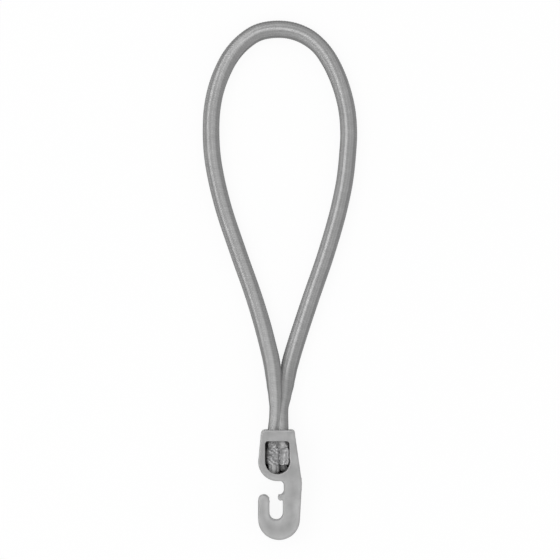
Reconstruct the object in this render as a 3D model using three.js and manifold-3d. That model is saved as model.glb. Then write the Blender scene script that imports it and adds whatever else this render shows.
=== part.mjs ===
// A short bungee cord: one elastic cord bent into a loop, with both of its ends crimped
// together in the pocket of a moulded plastic hook. It lies flat, as on a table.
// Millimetres. X runs across the loop, Y from the hook to the top of the loop, Z up.
import * as THREE from 'three';
import { mergeVertices } from 'three/addons/utils/BufferGeometryUtils.js';
import Module from 'manifold-3d';

const wasm = await Module();
wasm.setup();

// Cord
const cordDiameter = 6;
const sheathWall = 0.5;
const sheathSides = 12;
const coreClearance = 0.14;
const threadGap = 0.16;
const threadRow = 2; // threads on each side of the middle one

// Cord where the hook holds it: widths and depths as shares of the free diameter
const boreSqueeze = { width: 0.53, depth: 1.15 };
const bulgeSqueeze = { width: 0.56, depth: 1.05 };
const crimpSqueeze = { width: 0.45, depth: 0.82 };
const tailSqueeze = { width: 0.5, depth: 0.9 };
const cordGap = 0.4; // between the two cords, side by side
const leftTail = 2.3; // cut end below the crimp
const rightTail = 1.3;

// Crimp
const crimpWall = 0.65;
const crimpLength = 5.2;
const crimpClearance = 0.3; // crimp to cord
const lipGap = 0.3; // between the strip's two ends, at the front
const lipOffset = 0.45; // that gap, right of the cords' middle

// Hook
const hookLength = 38.55;
const axisOffset = 0.7; // the bore's axis, left of the hook's middle
const backWall = 1.6;
const boreClearance = 0.3;
const collarWall = 2.3;
const collarHeight = 3.88;
const collarStraight = 1.9;
const leadIn = 0.4;
const pocketWall = 2.45;
const pocketBackGap = 0.5;
const pocketSideGap = 0.3; // crimp to the pocket's right wall
const pocketFreeGap = 0.65; // crimp to the pocket's left wall
const pocketCorner = 1;
const pocketRise = 0.42; // centre of the pocket's round bottom, above the crimp's lower end
const seatGap = 2.4; // crimp to the underside of the collar
const stemDepth = 7.2; // thickness of the J, centred in the block's
const fingerWidth = 3.98;
const fingerReach = 4.52;
const throatWidth = 4.68;
const throatRelief = 0.32; // shank set back above the nub
const throatFillet = 1.4;
const shankWidth = 6;
const bendWeb = 7.05; // below the throat
const shoulderFlare = 0.7;
const shoulderDrop = 0.8;
const rampLength = 6.3; // from the block's faces down to the shank's
const rampInset = 0.1; // ramps behind the faces and sides that they run out in
const nubRise = 1.56;
const nubRadius = 0.9;
const nubLift = 0.81; // nub above the centre of the finger's tip
const edgeRadius = 1;
const cornerRadius = 1.2;
const rootOverlap = 5; // how far the J runs up inside the block
const bendSteps = 6; // half of the steps of each arc in an outline
const edgeSteps = 3; // steps of a rounded edge

// Sizes that follow from those above
const axisX = -axisOffset;
const cordWidth = (squeeze) => squeeze.width * cordDiameter;
const cordDepth = (squeeze) => squeeze.depth * cordDiameter;
const boreWidth = 2 * cordWidth(boreSqueeze) + cordGap + 2 * boreClearance;
const boreDepth = cordDepth(boreSqueeze) + 2 * boreClearance;
const crimpRound = cordWidth(crimpSqueeze) / 2 + crimpClearance + crimpWall;
const crimpWidth = cordWidth(crimpSqueeze) + cordGap + 2 * crimpRound;
const crimpDepth = cordDepth(crimpSqueeze) + 2 * (crimpClearance + crimpWall);
const axisZ = backWall + pocketBackGap + crimpDepth / 2;
const blockDepth = 2 * axisZ;
const pocketWidth = crimpWidth + pocketSideGap + pocketFreeGap;
const pocketX = axisX + (pocketSideGap - pocketFreeGap) / 2;
const hookWidth = fingerWidth + throatWidth + shankWidth + shoulderFlare;
const leftX = -hookWidth / 2;
const topY = hookLength / 2;
const bottomY = -hookLength / 2;
const pocketTopY = topY - collarHeight;
const crimpTopY = pocketTopY - seatGap;
const crimpBottomY = crimpTopY - crimpLength;
const blockRadius = pocketWidth / 2 + pocketWall;
const pocketRoundY = crimpBottomY + pocketRise;
const blockBottomY = pocketRoundY - blockRadius;
const throatX = leftX + fingerWidth + throatWidth / 2;
const throatY = bottomY + bendWeb + throatWidth / 2;
const tipY = throatY + fingerReach;
const nubY = tipY + nubLift;
const shankX = throatX + throatWidth / 2;
const upperShankX = shankX + throatRelief;
const bendRadius = (fingerWidth + throatWidth + shankWidth) / 2;
const bendY = bottomY + bendRadius;
const shoulderX = leftX + hookWidth;
const shoulderY = blockBottomY - shoulderDrop;
const blockRight = shoulderX - shoulderFlare / 4;

// Free route of the cord, from the left side of the collar over the top of the loop to the
// right side: x, y, z, and the cord's width and depth there as shares of its diameter.
// The left leg passes over the right one where they come together.
const freeRoute = [
  [-2.17, 26.8, 5.5, 0.5, 1.15],
  [-2.18, 31, 5.9, 0.64, 1.12],
  [-2.25, 35.2, 6.6, 0.79, 1.06],
  [-2.4, 39.4, 6.8, 0.95, 1],
  [-3.05, 43.6, 6, 1, 1],
  [-4.04, 47.8, 5, 1, 1],
  [-6.24, 56.2, 3.7, 1, 1],
  [-8.79, 64.6, 3.1, 1, 1],
  [-14.67, 81.4, 3, 1, 1],
  [-20.19, 98.2, 3, 1, 1],
  [-22.25, 106.6, 3, 1, 1],
  [-23.68, 115, 3, 1, 1],
  [-24.17, 123.4, 3, 1, 1],
  [-23.75, 131.8, 3, 1, 1],
  [-22.4, 138.5, 3, 1, 1],
  [-20.2, 144.7, 3, 1, 1],
  [-17.35, 150.15, 3, 1, 1],
  [-13.2, 154.95, 3, 1, 1],
  [-7.95, 158.2, 3, 1, 1],
  [-1.9, 159.45, 3, 1, 1],
  [4, 159, 3, 1, 1],
  [9.25, 156.9, 3, 1, 1],
  [13.75, 153.2, 3, 1, 1],
  [17.35, 148.4, 3, 1, 1],
  [19.9, 143.4, 3, 1, 1],
  [21.7, 138.5, 3, 1, 1],
  [23.35, 131.8, 3, 1, 1],
  [24.08, 123.4, 3, 1, 1],
  [23.64, 115, 3, 1, 1],
  [22.71, 106.6, 3, 1, 1],
  [21.05, 98.2, 3, 1, 1],
  [16.35, 81.4, 3, 1, 1],
  [10.6, 64.6, 3, 1, 1],
  [7.79, 56.2, 3, 1, 1],
  [5.09, 47.8, 3.05, 1, 1],
  [3.85, 43.6, 3.15, 1, 1],
  [2.95, 39.4, 3.4, 0.93, 1.05],
  [2.55, 35.2, 4.2, 0.78, 1.1],
  [1.97, 31, 5, 0.64, 1.12],
  [1.19, 26.8, 5.3, 0.5, 1.15],
];

const matte = (color, roughness) => new THREE.MeshStandardMaterial({ color, roughness, metalness: 0 });
const materials = {
  sheath: matte(0xb2b2b2, 0.85),
  latex: matte(0xd8cfb4, 0.7),
  plastic: matte(0xb4b4b4, 0.5),
  steel: new THREE.MeshStandardMaterial({ color: 0xb8b8b8, roughness: 0.4, metalness: 1 }),
};

const bungeeCord = new THREE.Group();

function addNode(name, geometry, material) {
  const mesh = new THREE.Mesh(geometry, material);
  mesh.name = name;
  bungeeCord.add(mesh);
}

function toSolid(geometry) {
  const bare = geometry.clone();
  bare.deleteAttribute('normal');
  bare.deleteAttribute('uv');
  const merged = mergeVertices(bare, 1e-4);
  return new wasm.Manifold(new wasm.Mesh({
    numProp: 3,
    vertProperties: new Float32Array(merged.attributes.position.array),
    triVerts: new Uint32Array(merged.index.array),
  }));
}

function fromSolid(solid) {
  const { vertProperties, triVerts } = solid.getMesh();
  const geometry = new THREE.BufferGeometry();
  geometry.setAttribute('position', new THREE.BufferAttribute(vertProperties, 3));
  geometry.setIndex(new THREE.BufferAttribute(triVerts, 1));
  geometry.computeVertexNormals();
  return geometry;
}

// A plate of the given outline in XY, centred on the hook's middle plane, with rounded edges.
function roundedPlate(outline, depth, radius) {
  const plate = new THREE.ExtrudeGeometry(outline, {
    depth: depth - 2 * radius,
    bevelThickness: radius,
    bevelSize: radius,
    bevelOffset: -radius,
    bevelSegments: edgeSteps,
    curveSegments: bendSteps,
  });
  return plate.translate(0, 0, axisZ - depth / 2 + radius);
}

// A prism whose outline lies in XZ, running down from the given height in Y.
function prismDown(outline, fromY, length) {
  const prism = new THREE.ExtrudeGeometry(outline, {
    depth: length,
    bevelEnabled: false,
    curveSegments: bendSteps,
  });
  return prism.rotateX(Math.PI / 2).translate(0, fromY, 0);
}

function roundedRectangle(x, y, width, height, radius) {
  const left = x - width / 2 + radius;
  const right = x + width / 2 - radius;
  const low = y - height / 2 + radius;
  const high = y + height / 2 - radius;
  const outline = new THREE.Shape();
  outline.absarc(right, high, radius, 0, Math.PI / 2);
  outline.absarc(left, high, radius, Math.PI / 2, Math.PI);
  outline.absarc(left, low, radius, Math.PI, 1.5 * Math.PI);
  outline.absarc(right, low, radius, 1.5 * Math.PI, 2 * Math.PI);
  return outline;
}

// The J: shank, throat and finger, with its root inside the pocket block.
function stemOutline() {
  const tipRadius = fingerWidth / 2;
  const rootY = blockBottomY + rootOverlap;
  const outline = new THREE.Shape();
  outline.moveTo(upperShankX - throatFillet, rootY);
  outline.lineTo(upperShankX - throatFillet, blockBottomY);
  outline.absarc(
    upperShankX - throatFillet, blockBottomY - throatFillet, throatFillet, Math.PI / 2, 0, true);
  outline.lineTo(upperShankX, nubY);
  outline.lineTo(shankX, nubY);
  outline.absarc(throatX, throatY, throatWidth / 2, 0, -Math.PI, true);
  outline.absarc(leftX + tipRadius, tipY, tipRadius, 0, Math.PI);
  outline.absarc(leftX + bendRadius, bendY, bendRadius, Math.PI, 2 * Math.PI);
  outline.lineTo(shoulderX, shoulderY);
  outline.lineTo(shoulderX - shoulderFlare, blockBottomY + shoulderDrop);
  outline.lineTo(shoulderX - shankWidth / 3, rootY);
  return outline;
}

// The nub on the shank, which narrows the way into the throat.
function nubOutline() {
  const outline = new THREE.Shape();
  outline.absarc(shankX - nubRise + nubRadius, nubY, nubRadius, 0, 2 * Math.PI);
  return outline;
}

// The block that carries the collar at its top and the pocket in its front.
function blockOutline() {
  const collarHalf = boreWidth / 2 + collarWall;
  const collarLeft = axisX - collarHalf;
  const collarRight = axisX + collarHalf;
  const outline = new THREE.Shape();
  outline.absarc(
    collarLeft + cornerRadius, topY - cornerRadius, cornerRadius, Math.PI / 2, Math.PI);
  outline.absarc(pocketX, pocketRoundY, blockRadius, Math.PI, 1.5 * Math.PI);
  outline.lineTo(blockRight, blockBottomY);
  outline.lineTo(collarRight, topY - collarStraight);
  outline.absarc(
    collarRight - cornerRadius, topY - cornerRadius, cornerRadius, 0, Math.PI / 2);
  return outline;
}

// The shank's thick upper end, which slopes at front and back from the block's faces to the J's.
function rampSkin() {
  const startY = blockBottomY + edgeRadius;
  const endY = blockBottomY - rampLength;
  const { mapLinear } = THREE.MathUtils;
  const levels = [
    [startY, upperShankX - throatFillet, blockRight - shoulderFlare / 4],
    [shoulderY, upperShankX, shoulderX],
    [endY, upperShankX, mapLinear(endY, bendY, shoulderY, leftX + 2 * bendRadius, shoulderX)],
  ];
  return skin(levels.map(([y, left, right]) => {
    const width = right - left - 2 * rampInset;
    const depth = mapLinear(y, startY, endY, blockDepth, stemDepth) - 2 * rampInset;
    const section = roundedRectangle((left + right) / 2, axisZ, width, depth, edgeRadius);
    return section.getPoints(edgeSteps).map((point) => new THREE.Vector3(point.x, y, point.y));
  }));
}

// The pocket: a window with a round bottom, open at the front and closed by the back wall.
function pocketCut() {
  const left = pocketX - pocketWidth / 2;
  const right = pocketX + pocketWidth / 2;
  const outline = new THREE.Shape();
  outline.absarc(right - pocketCorner, pocketTopY - pocketCorner, pocketCorner, 0, Math.PI / 2);
  outline.absarc(left + pocketCorner, pocketTopY - pocketCorner, pocketCorner, Math.PI / 2, Math.PI);
  outline.absarc(pocketX, pocketRoundY, pocketWidth / 2, Math.PI, 2 * Math.PI);
  const cut = new THREE.ExtrudeGeometry(outline, {
    depth: blockDepth,
    bevelEnabled: false,
    curveSegments: bendSteps,
  });
  return cut.translate(0, 0, backWall);
}

// The bore through the collar, and the lead-in round its mouth.
function boreCut() {
  const outline = roundedRectangle(axisX, axisZ, boreWidth, boreDepth, boreWidth / 3);
  return prismDown(outline, topY + collarHeight, 2 * collarHeight + seatGap / 2);
}

function leadInCut() {
  const outline = roundedRectangle(axisX, axisZ, boreWidth, boreDepth, boreWidth / 3);
  const flare = new THREE.ExtrudeGeometry(outline, {
    depth: leadIn,
    bevelThickness: leadIn,
    bevelSize: leadIn,
    bevelSegments: 1,
    curveSegments: bendSteps,
  });
  return flare.rotateX(Math.PI / 2).translate(0, topY + leadIn, 0);
}

function hookBody() {
  return fromSolid(toSolid(roundedPlate(stemOutline(), stemDepth, edgeRadius))
    .add(toSolid(roundedPlate(nubOutline(), stemDepth - nubRadius, nubRadius / 2)))
    .add(toSolid(roundedPlate(blockOutline(), blockDepth, edgeRadius)))
    .add(toSolid(rampSkin()))
    .subtract(toSolid(pocketCut()))
    .subtract(toSolid(boreCut()))
    .subtract(toSolid(leadInCut())));
}

// The crimp: a strip of sheet steel bent round both cords, whose two ends meet at the front.
function crimp() {
  const lipX = axisX + lipOffset;
  const frontZ = axisZ + crimpDepth / 2;
  const rightX = axisX + crimpWidth / 2 - crimpRound;
  const leftCornerX = axisX - crimpWidth / 2 + crimpRound;
  const highZ = axisZ + crimpDepth / 2 - crimpRound;
  const lowZ = axisZ - crimpDepth / 2 + crimpRound;
  const inside = crimpRound - crimpWall;
  const outline = new THREE.Shape();
  outline.moveTo(lipX + lipGap / 2, frontZ);
  outline.absarc(rightX, highZ, crimpRound, Math.PI / 2, 0, true);
  outline.absarc(rightX, lowZ, crimpRound, 0, -Math.PI / 2, true);
  outline.absarc(leftCornerX, lowZ, crimpRound, -Math.PI / 2, -Math.PI, true);
  outline.absarc(leftCornerX, highZ, crimpRound, Math.PI, Math.PI / 2, true);
  outline.lineTo(lipX - lipGap / 2, frontZ);
  outline.lineTo(lipX - lipGap / 2, frontZ - crimpWall);
  outline.absarc(leftCornerX, highZ, inside, Math.PI / 2, Math.PI);
  outline.absarc(leftCornerX, lowZ, inside, Math.PI, 1.5 * Math.PI);
  outline.absarc(rightX, lowZ, inside, 1.5 * Math.PI, 2 * Math.PI);
  outline.absarc(rightX, highZ, inside, 0, Math.PI / 2);
  outline.lineTo(lipX + lipGap / 2, frontZ - crimpWall);
  return prismDown(outline, crimpTopY, crimpLength);
}

// Stations of the cord: its place, and its width and depth as shares of its diameter.
function station(x, y, z, squeeze) {
  return { place: new THREE.Vector3(x, y, z), squeeze };
}

// One leg inside the hook, from its cut end up to the mouth of the collar. Side is -1 or 1.
function heldLeg(side, tail) {
  const levels = [
    [crimpBottomY - tail, tailSqueeze, crimpSqueeze],
    [crimpBottomY, crimpSqueeze, crimpSqueeze],
    [crimpTopY, crimpSqueeze, crimpSqueeze],
    [crimpTopY + seatGap / 2, bulgeSqueeze, bulgeSqueeze],
    [pocketTopY, boreSqueeze, boreSqueeze],
    [topY, boreSqueeze, boreSqueeze],
  ];
  return levels.map(([y, squeeze, spacing]) => {
    const x = axisX + side * (cordWidth(spacing) + cordGap) / 2;
    return station(x, y, axisZ, squeeze);
  });
}

function cordStations() {
  const free = freeRoute.map(([x, y, z, width, depth]) => station(x, y, z, { width, depth }));
  return [...heldLeg(-1, leftTail), ...free, ...heldLeg(1, rightTail).reverse()];
}

// Each station with the directions across the cord: side in plan, up away from the table.
function cordFrames() {
  const stations = cordStations();
  const last = stations.length - 1;
  return stations.map(({ place, squeeze }, index) => {
    const before = stations[Math.max(index - 1, 0)].place;
    const after = stations[Math.min(index + 1, last)].place;
    const along = after.clone().sub(before).normalize();
    const side = new THREE.Vector3(0, 0, 1).cross(along).normalize();
    const up = along.clone().cross(side);
    side.multiplyScalar(squeeze.width);
    up.multiplyScalar(squeeze.depth);
    return { place, side, up };
  });
}

// The section's points, given for the free round cord, carried to every station.
function sweep(section, frames) {
  return frames.map(({ place, side, up }) => section.map(([u, v]) =>
    place.clone().addScaledVector(side, u).addScaledVector(up, v)));
}

// A closed skin round a row of rings, with a second row inside it for a hollow one.
function skin(outer, inner) {
  const count = outer[0].length;
  const points = [...outer.flat(), ...(inner ? inner.flat() : [])];
  const innerStart = outer.length * count;
  const last = outer.length - 1;
  const faces = [];
  const quad = (a, b, c, d) => faces.push(a, b, c, a, c, d);
  const at = (ring, spoke) => ring * count + (spoke % count);
  for (let ring = 0; ring < last; ring += 1) {
    for (let spoke = 0; spoke < count; spoke += 1) {
      quad(at(ring, spoke), at(ring, spoke + 1), at(ring + 1, spoke + 1), at(ring + 1, spoke));
      if (inner) {
        quad(
          innerStart + at(ring + 1, spoke), innerStart + at(ring + 1, spoke + 1),
          innerStart + at(ring, spoke + 1), innerStart + at(ring, spoke));
      }
    }
  }
  for (let spoke = 0; inner && spoke < count; spoke += 1) {
    quad(at(0, spoke + 1), at(0, spoke), innerStart + at(0, spoke), innerStart + at(0, spoke + 1));
    quad(
      at(last, spoke), at(last, spoke + 1),
      innerStart + at(last, spoke + 1), innerStart + at(last, spoke));
  }
  for (let spoke = 1; !inner && spoke < count - 1; spoke += 1) {
    faces.push(at(0, 0), at(0, spoke + 1), at(0, spoke));
    faces.push(at(last, 0), at(last, spoke), at(last, spoke + 1));
  }
  const geometry = new THREE.BufferGeometry().setFromPoints(points);
  geometry.setIndex(faces);
  geometry.computeVertexNormals();
  return geometry;
}

function circleSection(radius) {
  return Array.from({ length: sheathSides }, (_, spoke) => {
    const angle = (2 * Math.PI * spoke) / sheathSides;
    return [radius * Math.cos(angle), radius * Math.sin(angle)];
  });
}

function squareSection(x, y, side) {
  const half = side / 2;
  return [[x - half, y - half], [x + half, y - half], [x + half, y + half], [x - half, y + half]];
}

const frames = cordFrames();
const sheathInner = cordDiameter / 2 - sheathWall;
addNode('hook_body', hookBody(), materials.plastic);
addNode('cord_crimp', crimp(), materials.steel);
addNode('cord_sheath', skin(
  sweep(circleSection(cordDiameter / 2), frames),
  sweep(circleSection(sheathInner), frames)), materials.sheath);

// The core: rows of square-cut rubber threads, without the four at the corners.
const coreRadius = sheathInner * Math.cos(Math.PI / sheathSides) - coreClearance;
const threadPitch = coreRadius / Math.hypot(threadRow + 0.5, threadRow - 0.5);
let threadCount = 0;
for (let row = -threadRow; row <= threadRow; row += 1) {
  for (let column = -threadRow; column <= threadRow; column += 1) {
    if (Math.abs(row) + Math.abs(column) < 2 * threadRow) {
      threadCount += 1;
      const section = squareSection(column * threadPitch, row * threadPitch, threadPitch - threadGap);
      const name = `core_thread_${String(threadCount).padStart(2, '0')}`;
      addNode(name, skin(sweep(section, frames)), materials.latex);
    }
  }
}

export default bungeeCord;
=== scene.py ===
import math

import bpy
import numpy as np
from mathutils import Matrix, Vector, kdtree, noise


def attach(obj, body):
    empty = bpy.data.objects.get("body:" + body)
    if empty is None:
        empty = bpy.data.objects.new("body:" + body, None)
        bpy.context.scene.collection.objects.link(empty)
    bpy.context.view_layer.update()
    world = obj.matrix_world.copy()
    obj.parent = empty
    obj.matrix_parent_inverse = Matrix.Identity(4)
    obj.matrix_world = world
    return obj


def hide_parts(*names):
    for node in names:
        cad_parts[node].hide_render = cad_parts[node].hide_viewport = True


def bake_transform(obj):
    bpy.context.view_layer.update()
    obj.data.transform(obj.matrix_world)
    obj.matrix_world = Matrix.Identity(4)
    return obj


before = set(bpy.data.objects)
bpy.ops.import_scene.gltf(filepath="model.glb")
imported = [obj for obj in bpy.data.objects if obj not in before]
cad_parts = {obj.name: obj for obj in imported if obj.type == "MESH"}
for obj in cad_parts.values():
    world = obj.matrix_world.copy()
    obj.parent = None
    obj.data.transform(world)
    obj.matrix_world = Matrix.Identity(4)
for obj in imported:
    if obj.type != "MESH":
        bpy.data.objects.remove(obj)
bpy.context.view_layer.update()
millimetre = 0.001
print("frame loaded,", len(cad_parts), "nodes")


# node tools

# a sum of nodes: numbers are set, sockets are linked
def calculate(tree, operation, *inputs):
    node = tree.nodes.new("ShaderNodeMath")
    node.operation = operation
    for socket, value in zip(node.inputs, inputs):
        if isinstance(value, (int, float)):
            socket.default_value = value
        else:
            tree.links.new(value, socket)
    return node.outputs[0]


# a value's way from low to high, given out as a number from toLow to toHigh
def rampBetween(tree, value, low, high, toLow=0.0, toHigh=1.0):
    node = tree.nodes.new("ShaderNodeMapRange")
    for name, number in (("From Min", low), ("From Max", high), ("To Min", toLow), ("To Max", toHigh)):
        node.inputs[name].default_value = number
    tree.links.new(value, node.inputs["Value"])
    return node.outputs["Result"]


# camera and stage

cameraSetup = {
    "lens": 250,           # mm, long as for small goods
    "sensor": 36,
    "viewWidth": 0.196,    # what the picture spans at the height of the object's middle
    "aim": (0.0, 0.0716),  # point under the middle of the picture
    "objectHeight": 0.005,
    "clipStart": 0.01,
}

stageSetup = {
    "floorSize": 8.0,
    "floorHeight": -0.00005,
    "floorColour": (0.16, 0.16, 0.16, 1),  # for light that bounces off the floor
    "floorShade": (0.1, 0.1, 0.1, 1),      # the share of the white that takes shadow
    "floorGlow": 0.915,
    "worldLight": 0.62,                    # on the object
    "worldWhite": 1.0,                     # in the picture and in reflections
}

lampTarget = (0.0, 0.06, 0.0)   # what all lamps face
lampSetup = {
    # name: place, width in metres, watts, and whether it shows in the gloss alone
    "key": ((-0.62, 0.16, 1.02), 0.8, 2.2, False),
    "near": ((0.0, -0.55, 1.05), 0.6, 0.9, False),
    "side": ((1.1, 0.06, 0.35), 0.5, 0.8, False),
    "glint": ((-0.94, 0.2, 0.78), 1.1, 18.0, True),
    "sheen": ((-0.2, 0.72, 0.98), 0.9, 14.0, True),
}


def pointAt(obj, target):
    aim = [t - p for t, p in zip(target, obj.location)]
    flat = math.hypot(aim[0], aim[1])
    obj.rotation_euler = (math.atan2(flat, -aim[2]), 0, math.atan2(aim[1], aim[0]) - math.pi / 2)


def makeCamera(setup):
    bpy.ops.object.camera_add()
    camera = bpy.context.object
    camera.name = "photoCamera"
    camera.data.lens = setup["lens"]
    camera.data.sensor_width = setup["sensor"]
    distance = setup["viewWidth"] * setup["lens"] / setup["sensor"]
    camera.location = (*setup["aim"], setup["objectHeight"] + distance)
    camera.rotation_euler = (0, 0, 0)
    camera.data.clip_start = setup["clipStart"]
    bpy.context.scene.camera = camera


# one for camera, mirror and glass rays, nought for the light that falls on the object
def seenDirectly(tree):
    rays = tree.nodes.new("ShaderNodeLightPath").outputs
    direct = calculate(tree, "MAXIMUM", rays["Is Camera Ray"], rays["Is Glossy Ray"])
    return calculate(tree, "MAXIMUM", direct, rays["Is Transmission Ray"])


def makeFloor(setup):
    bpy.ops.object.select_all(action="DESELECT")
    bpy.ops.mesh.primitive_plane_add(size=setup["floorSize"], location=(0, 0, setup["floorHeight"]))
    floor = bpy.context.object
    floor.name = "floor"
    material = bpy.data.materials.new("paleFloor")
    material.use_nodes = True
    tree = material.node_tree
    tree.nodes.clear()
    output = tree.nodes.new("ShaderNodeOutputMaterial")
    bounce = tree.nodes.new("ShaderNodeBsdfDiffuse")
    bounce.inputs["Color"].default_value = setup["floorColour"]
    shade = tree.nodes.new("ShaderNodeBsdfDiffuse")
    shade.inputs["Color"].default_value = setup["floorShade"]
    glow = tree.nodes.new("ShaderNodeEmission")
    glow.inputs["Strength"].default_value = setup["floorGlow"]
    white = tree.nodes.new("ShaderNodeAddShader")
    mix = tree.nodes.new("ShaderNodeMixShader")
    tree.links.new(shade.outputs[0], white.inputs[0])
    tree.links.new(glow.outputs[0], white.inputs[1])
    tree.links.new(seenDirectly(tree), mix.inputs[0])
    tree.links.new(bounce.outputs[0], mix.inputs[1])
    tree.links.new(white.outputs[0], mix.inputs[2])
    tree.links.new(mix.outputs[0], output.inputs["Surface"])
    floor.data.materials.append(material)


def makeWorld(setup):
    world = bpy.data.worlds.new("studio")
    bpy.context.scene.world = world
    world.use_nodes = True
    tree = world.node_tree
    background = tree.nodes["Background"]
    background.inputs["Color"].default_value = (1, 1, 1, 1)
    level = rampBetween(tree, seenDirectly(tree), 0.0, 1.0, setup["worldLight"], setup["worldWhite"])
    tree.links.new(level, background.inputs["Strength"])


def makeLamps(setup, target):
    for name, (place, width, watts, glossOnly) in setup.items():
        bpy.ops.object.light_add(type="AREA", location=place)
        lamp = bpy.context.object
        lamp.name = name + "Lamp"
        lamp.data.shape = "DISK"
        lamp.data.size = width
        lamp.data.energy = watts
        lamp.visible_diffuse = not glossOnly
        pointAt(lamp, target)


bpy.context.scene.view_settings.view_transform = "Standard"
makeCamera(cameraSetup)
makeFloor(stageSetup)
makeWorld(stageSetup)
makeLamps(lampSetup, lampTarget)
print("camera, floor and lamps set")


# tools for modelling, in millimetres until a piece is finished

def selectOnly(obj):
    bpy.ops.object.select_all(action="DESELECT")
    obj.select_set(True)
    bpy.context.view_layer.objects.active = obj


def applyModifier(obj, kind, **values):
    selectOnly(obj)
    modifier = obj.modifiers.new(kind.lower(), kind)
    for name, value in values.items():
        setattr(modifier, name, value)
    bpy.ops.object.modifier_apply(modifier=modifier.name)


def zeroToOne(value):
    return min(max(value, 0), 1)


# smooth noise at a place, with a scale and a shift for each axis
def foldNoise(place, scales, shifts):
    return noise.noise(Vector([p * scale + shift for p, scale, shift in zip(place, scales, shifts)]))


# for finding how far a point of the plan is from the nearest of these
def planTree(points):
    tree = kdtree.KDTree(len(points))
    for index, point in enumerate(points):
        tree.insert((point.x, point.y, 0), index)
    tree.balance()
    return tree


def addBar(low, high):
    bpy.ops.object.select_all(action="DESELECT")
    bpy.ops.mesh.primitive_cube_add(size=1, location=[(a + b) / 2 for a, b in zip(low, high)])
    bar = bpy.context.object
    bar.scale = [b - a for a, b in zip(low, high)]
    bpy.ops.object.transform_apply(location=True, rotation=True, scale=True)
    return bar


def addDrum(x, y, radius, low, high, sides=160):
    bpy.ops.object.select_all(action="DESELECT")
    bpy.ops.mesh.primitive_cylinder_add(
        vertices=sides, radius=radius, depth=high - low, location=(x, y, (low + high) / 2))
    drum = bpy.context.object
    bpy.ops.object.transform_apply(location=True, rotation=True, scale=True)
    return drum


def trim(obj, point, normal):
    selectOnly(obj)
    bpy.ops.object.mode_set(mode="EDIT")
    bpy.ops.mesh.select_all(action="SELECT")
    bpy.ops.mesh.bisect(
        plane_co=point, plane_no=Vector(normal).normalized(), use_fill=True, clear_outer=True)
    bpy.ops.object.mode_set(mode="OBJECT")


# cuts away what lies on the right of the line from one plan point to the other, seen from above
def trimAlong(obj, start, end):
    dx, dy = end[0] - start[0], end[1] - start[1]
    trim(obj, (*start, 0), (dy, -dx, 0))


def isUpright(a, b):
    return abs(a.z - b.z) > 5


# bevels the edges whose two end points are chosen
def roundEdges(obj, chosen, width, steps):
    selectOnly(obj)
    bpy.ops.object.mode_set(mode="EDIT")
    bpy.ops.mesh.select_mode(type="EDGE")
    bpy.ops.mesh.select_all(action="DESELECT")
    bpy.ops.object.mode_set(mode="OBJECT")
    points = [v.co for v in obj.data.vertices]
    for edge in obj.data.edges:
        edge.select = chosen(points[edge.vertices[0]], points[edge.vertices[1]])
    bpy.ops.object.mode_set(mode="EDIT")
    bpy.ops.mesh.bevel(offset=width, segments=steps, affect="EDGES")
    bpy.ops.object.mode_set(mode="OBJECT")


def joinAll(parts, name):
    bpy.ops.object.select_all(action="DESELECT")
    for part in parts:
        part.select_set(True)
    bpy.context.view_layer.objects.active = parts[0]
    bpy.ops.object.join()
    whole = bpy.context.object
    whole.name = name
    whole.data.name = name
    return whole


def cut(obj, cutter, operation="DIFFERENCE"):
    applyModifier(obj, "BOOLEAN", operation=operation, object=cutter, solver="EXACT")
    selectOnly(cutter)
    bpy.ops.object.delete()


def finishPiece(obj, name, material):
    obj.name = name
    obj.data.name = name
    selectOnly(obj)
    obj.scale = (millimetre,) * 3
    bpy.ops.object.transform_apply(location=True, rotation=True, scale=True)
    bpy.ops.object.shade_smooth()
    obj.data.materials.clear()
    obj.data.materials.append(material)
    triangles = sum(len(p.vertices) - 2 for p in obj.data.polygons)
    print(name, "made,", triangles, "triangles")


# material tools

def newMaterial(name):
    material = bpy.data.materials.new(name)
    material.use_nodes = True
    return material, material.node_tree, material.node_tree.nodes["Principled BSDF"]


mottleSetup = {
    "cloudDetail": 3,
    "grainDetail": 2,
    "grainShare": 0.35,  # of the grain in the tone, beside the clouds
}


# cloudy changes of tone and a fine grain, for every finish of this object
def makeMottleGroup(setup):
    group = bpy.data.node_groups.new("mottle", "ShaderNodeTree")
    group.interface.new_socket("Vector", in_out="INPUT", socket_type="NodeSocketVector")
    for name, value in (("Cloud Scale", 300.0), ("Grain Scale", 4000.0), ("Amount", 0.1)):
        socket = group.interface.new_socket(name, in_out="INPUT", socket_type="NodeSocketFloat")
        socket.default_value = value
    for name in ("Tone", "Grain"):
        group.interface.new_socket(name, in_out="OUTPUT", socket_type="NodeSocketFloat")
    start = group.nodes.new("NodeGroupInput")
    end = group.nodes.new("NodeGroupOutput")
    cloud = group.nodes.new("ShaderNodeTexNoise")
    cloud.inputs["Detail"].default_value = setup["cloudDetail"]
    grain = group.nodes.new("ShaderNodeTexNoise")
    grain.inputs["Detail"].default_value = setup["grainDetail"]
    for texture, scale in ((cloud, "Cloud Scale"), (grain, "Grain Scale")):
        group.links.new(start.outputs["Vector"], texture.inputs["Vector"])
        group.links.new(start.outputs[scale], texture.inputs["Scale"])
    centred = calculate(group, "SUBTRACT", cloud.outputs[0], 0.5)
    speck = calculate(group, "SUBTRACT", grain.outputs[0], 0.5)
    both = calculate(group, "MULTIPLY_ADD", speck, setup["grainShare"], centred)
    tone = calculate(group, "MULTIPLY_ADD", both, start.outputs["Amount"], 1.0)
    group.links.new(tone, end.inputs["Tone"])
    group.links.new(grain.outputs[0], end.inputs["Grain"])
    return group


mottleGroup = makeMottleGroup(mottleSetup)


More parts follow.
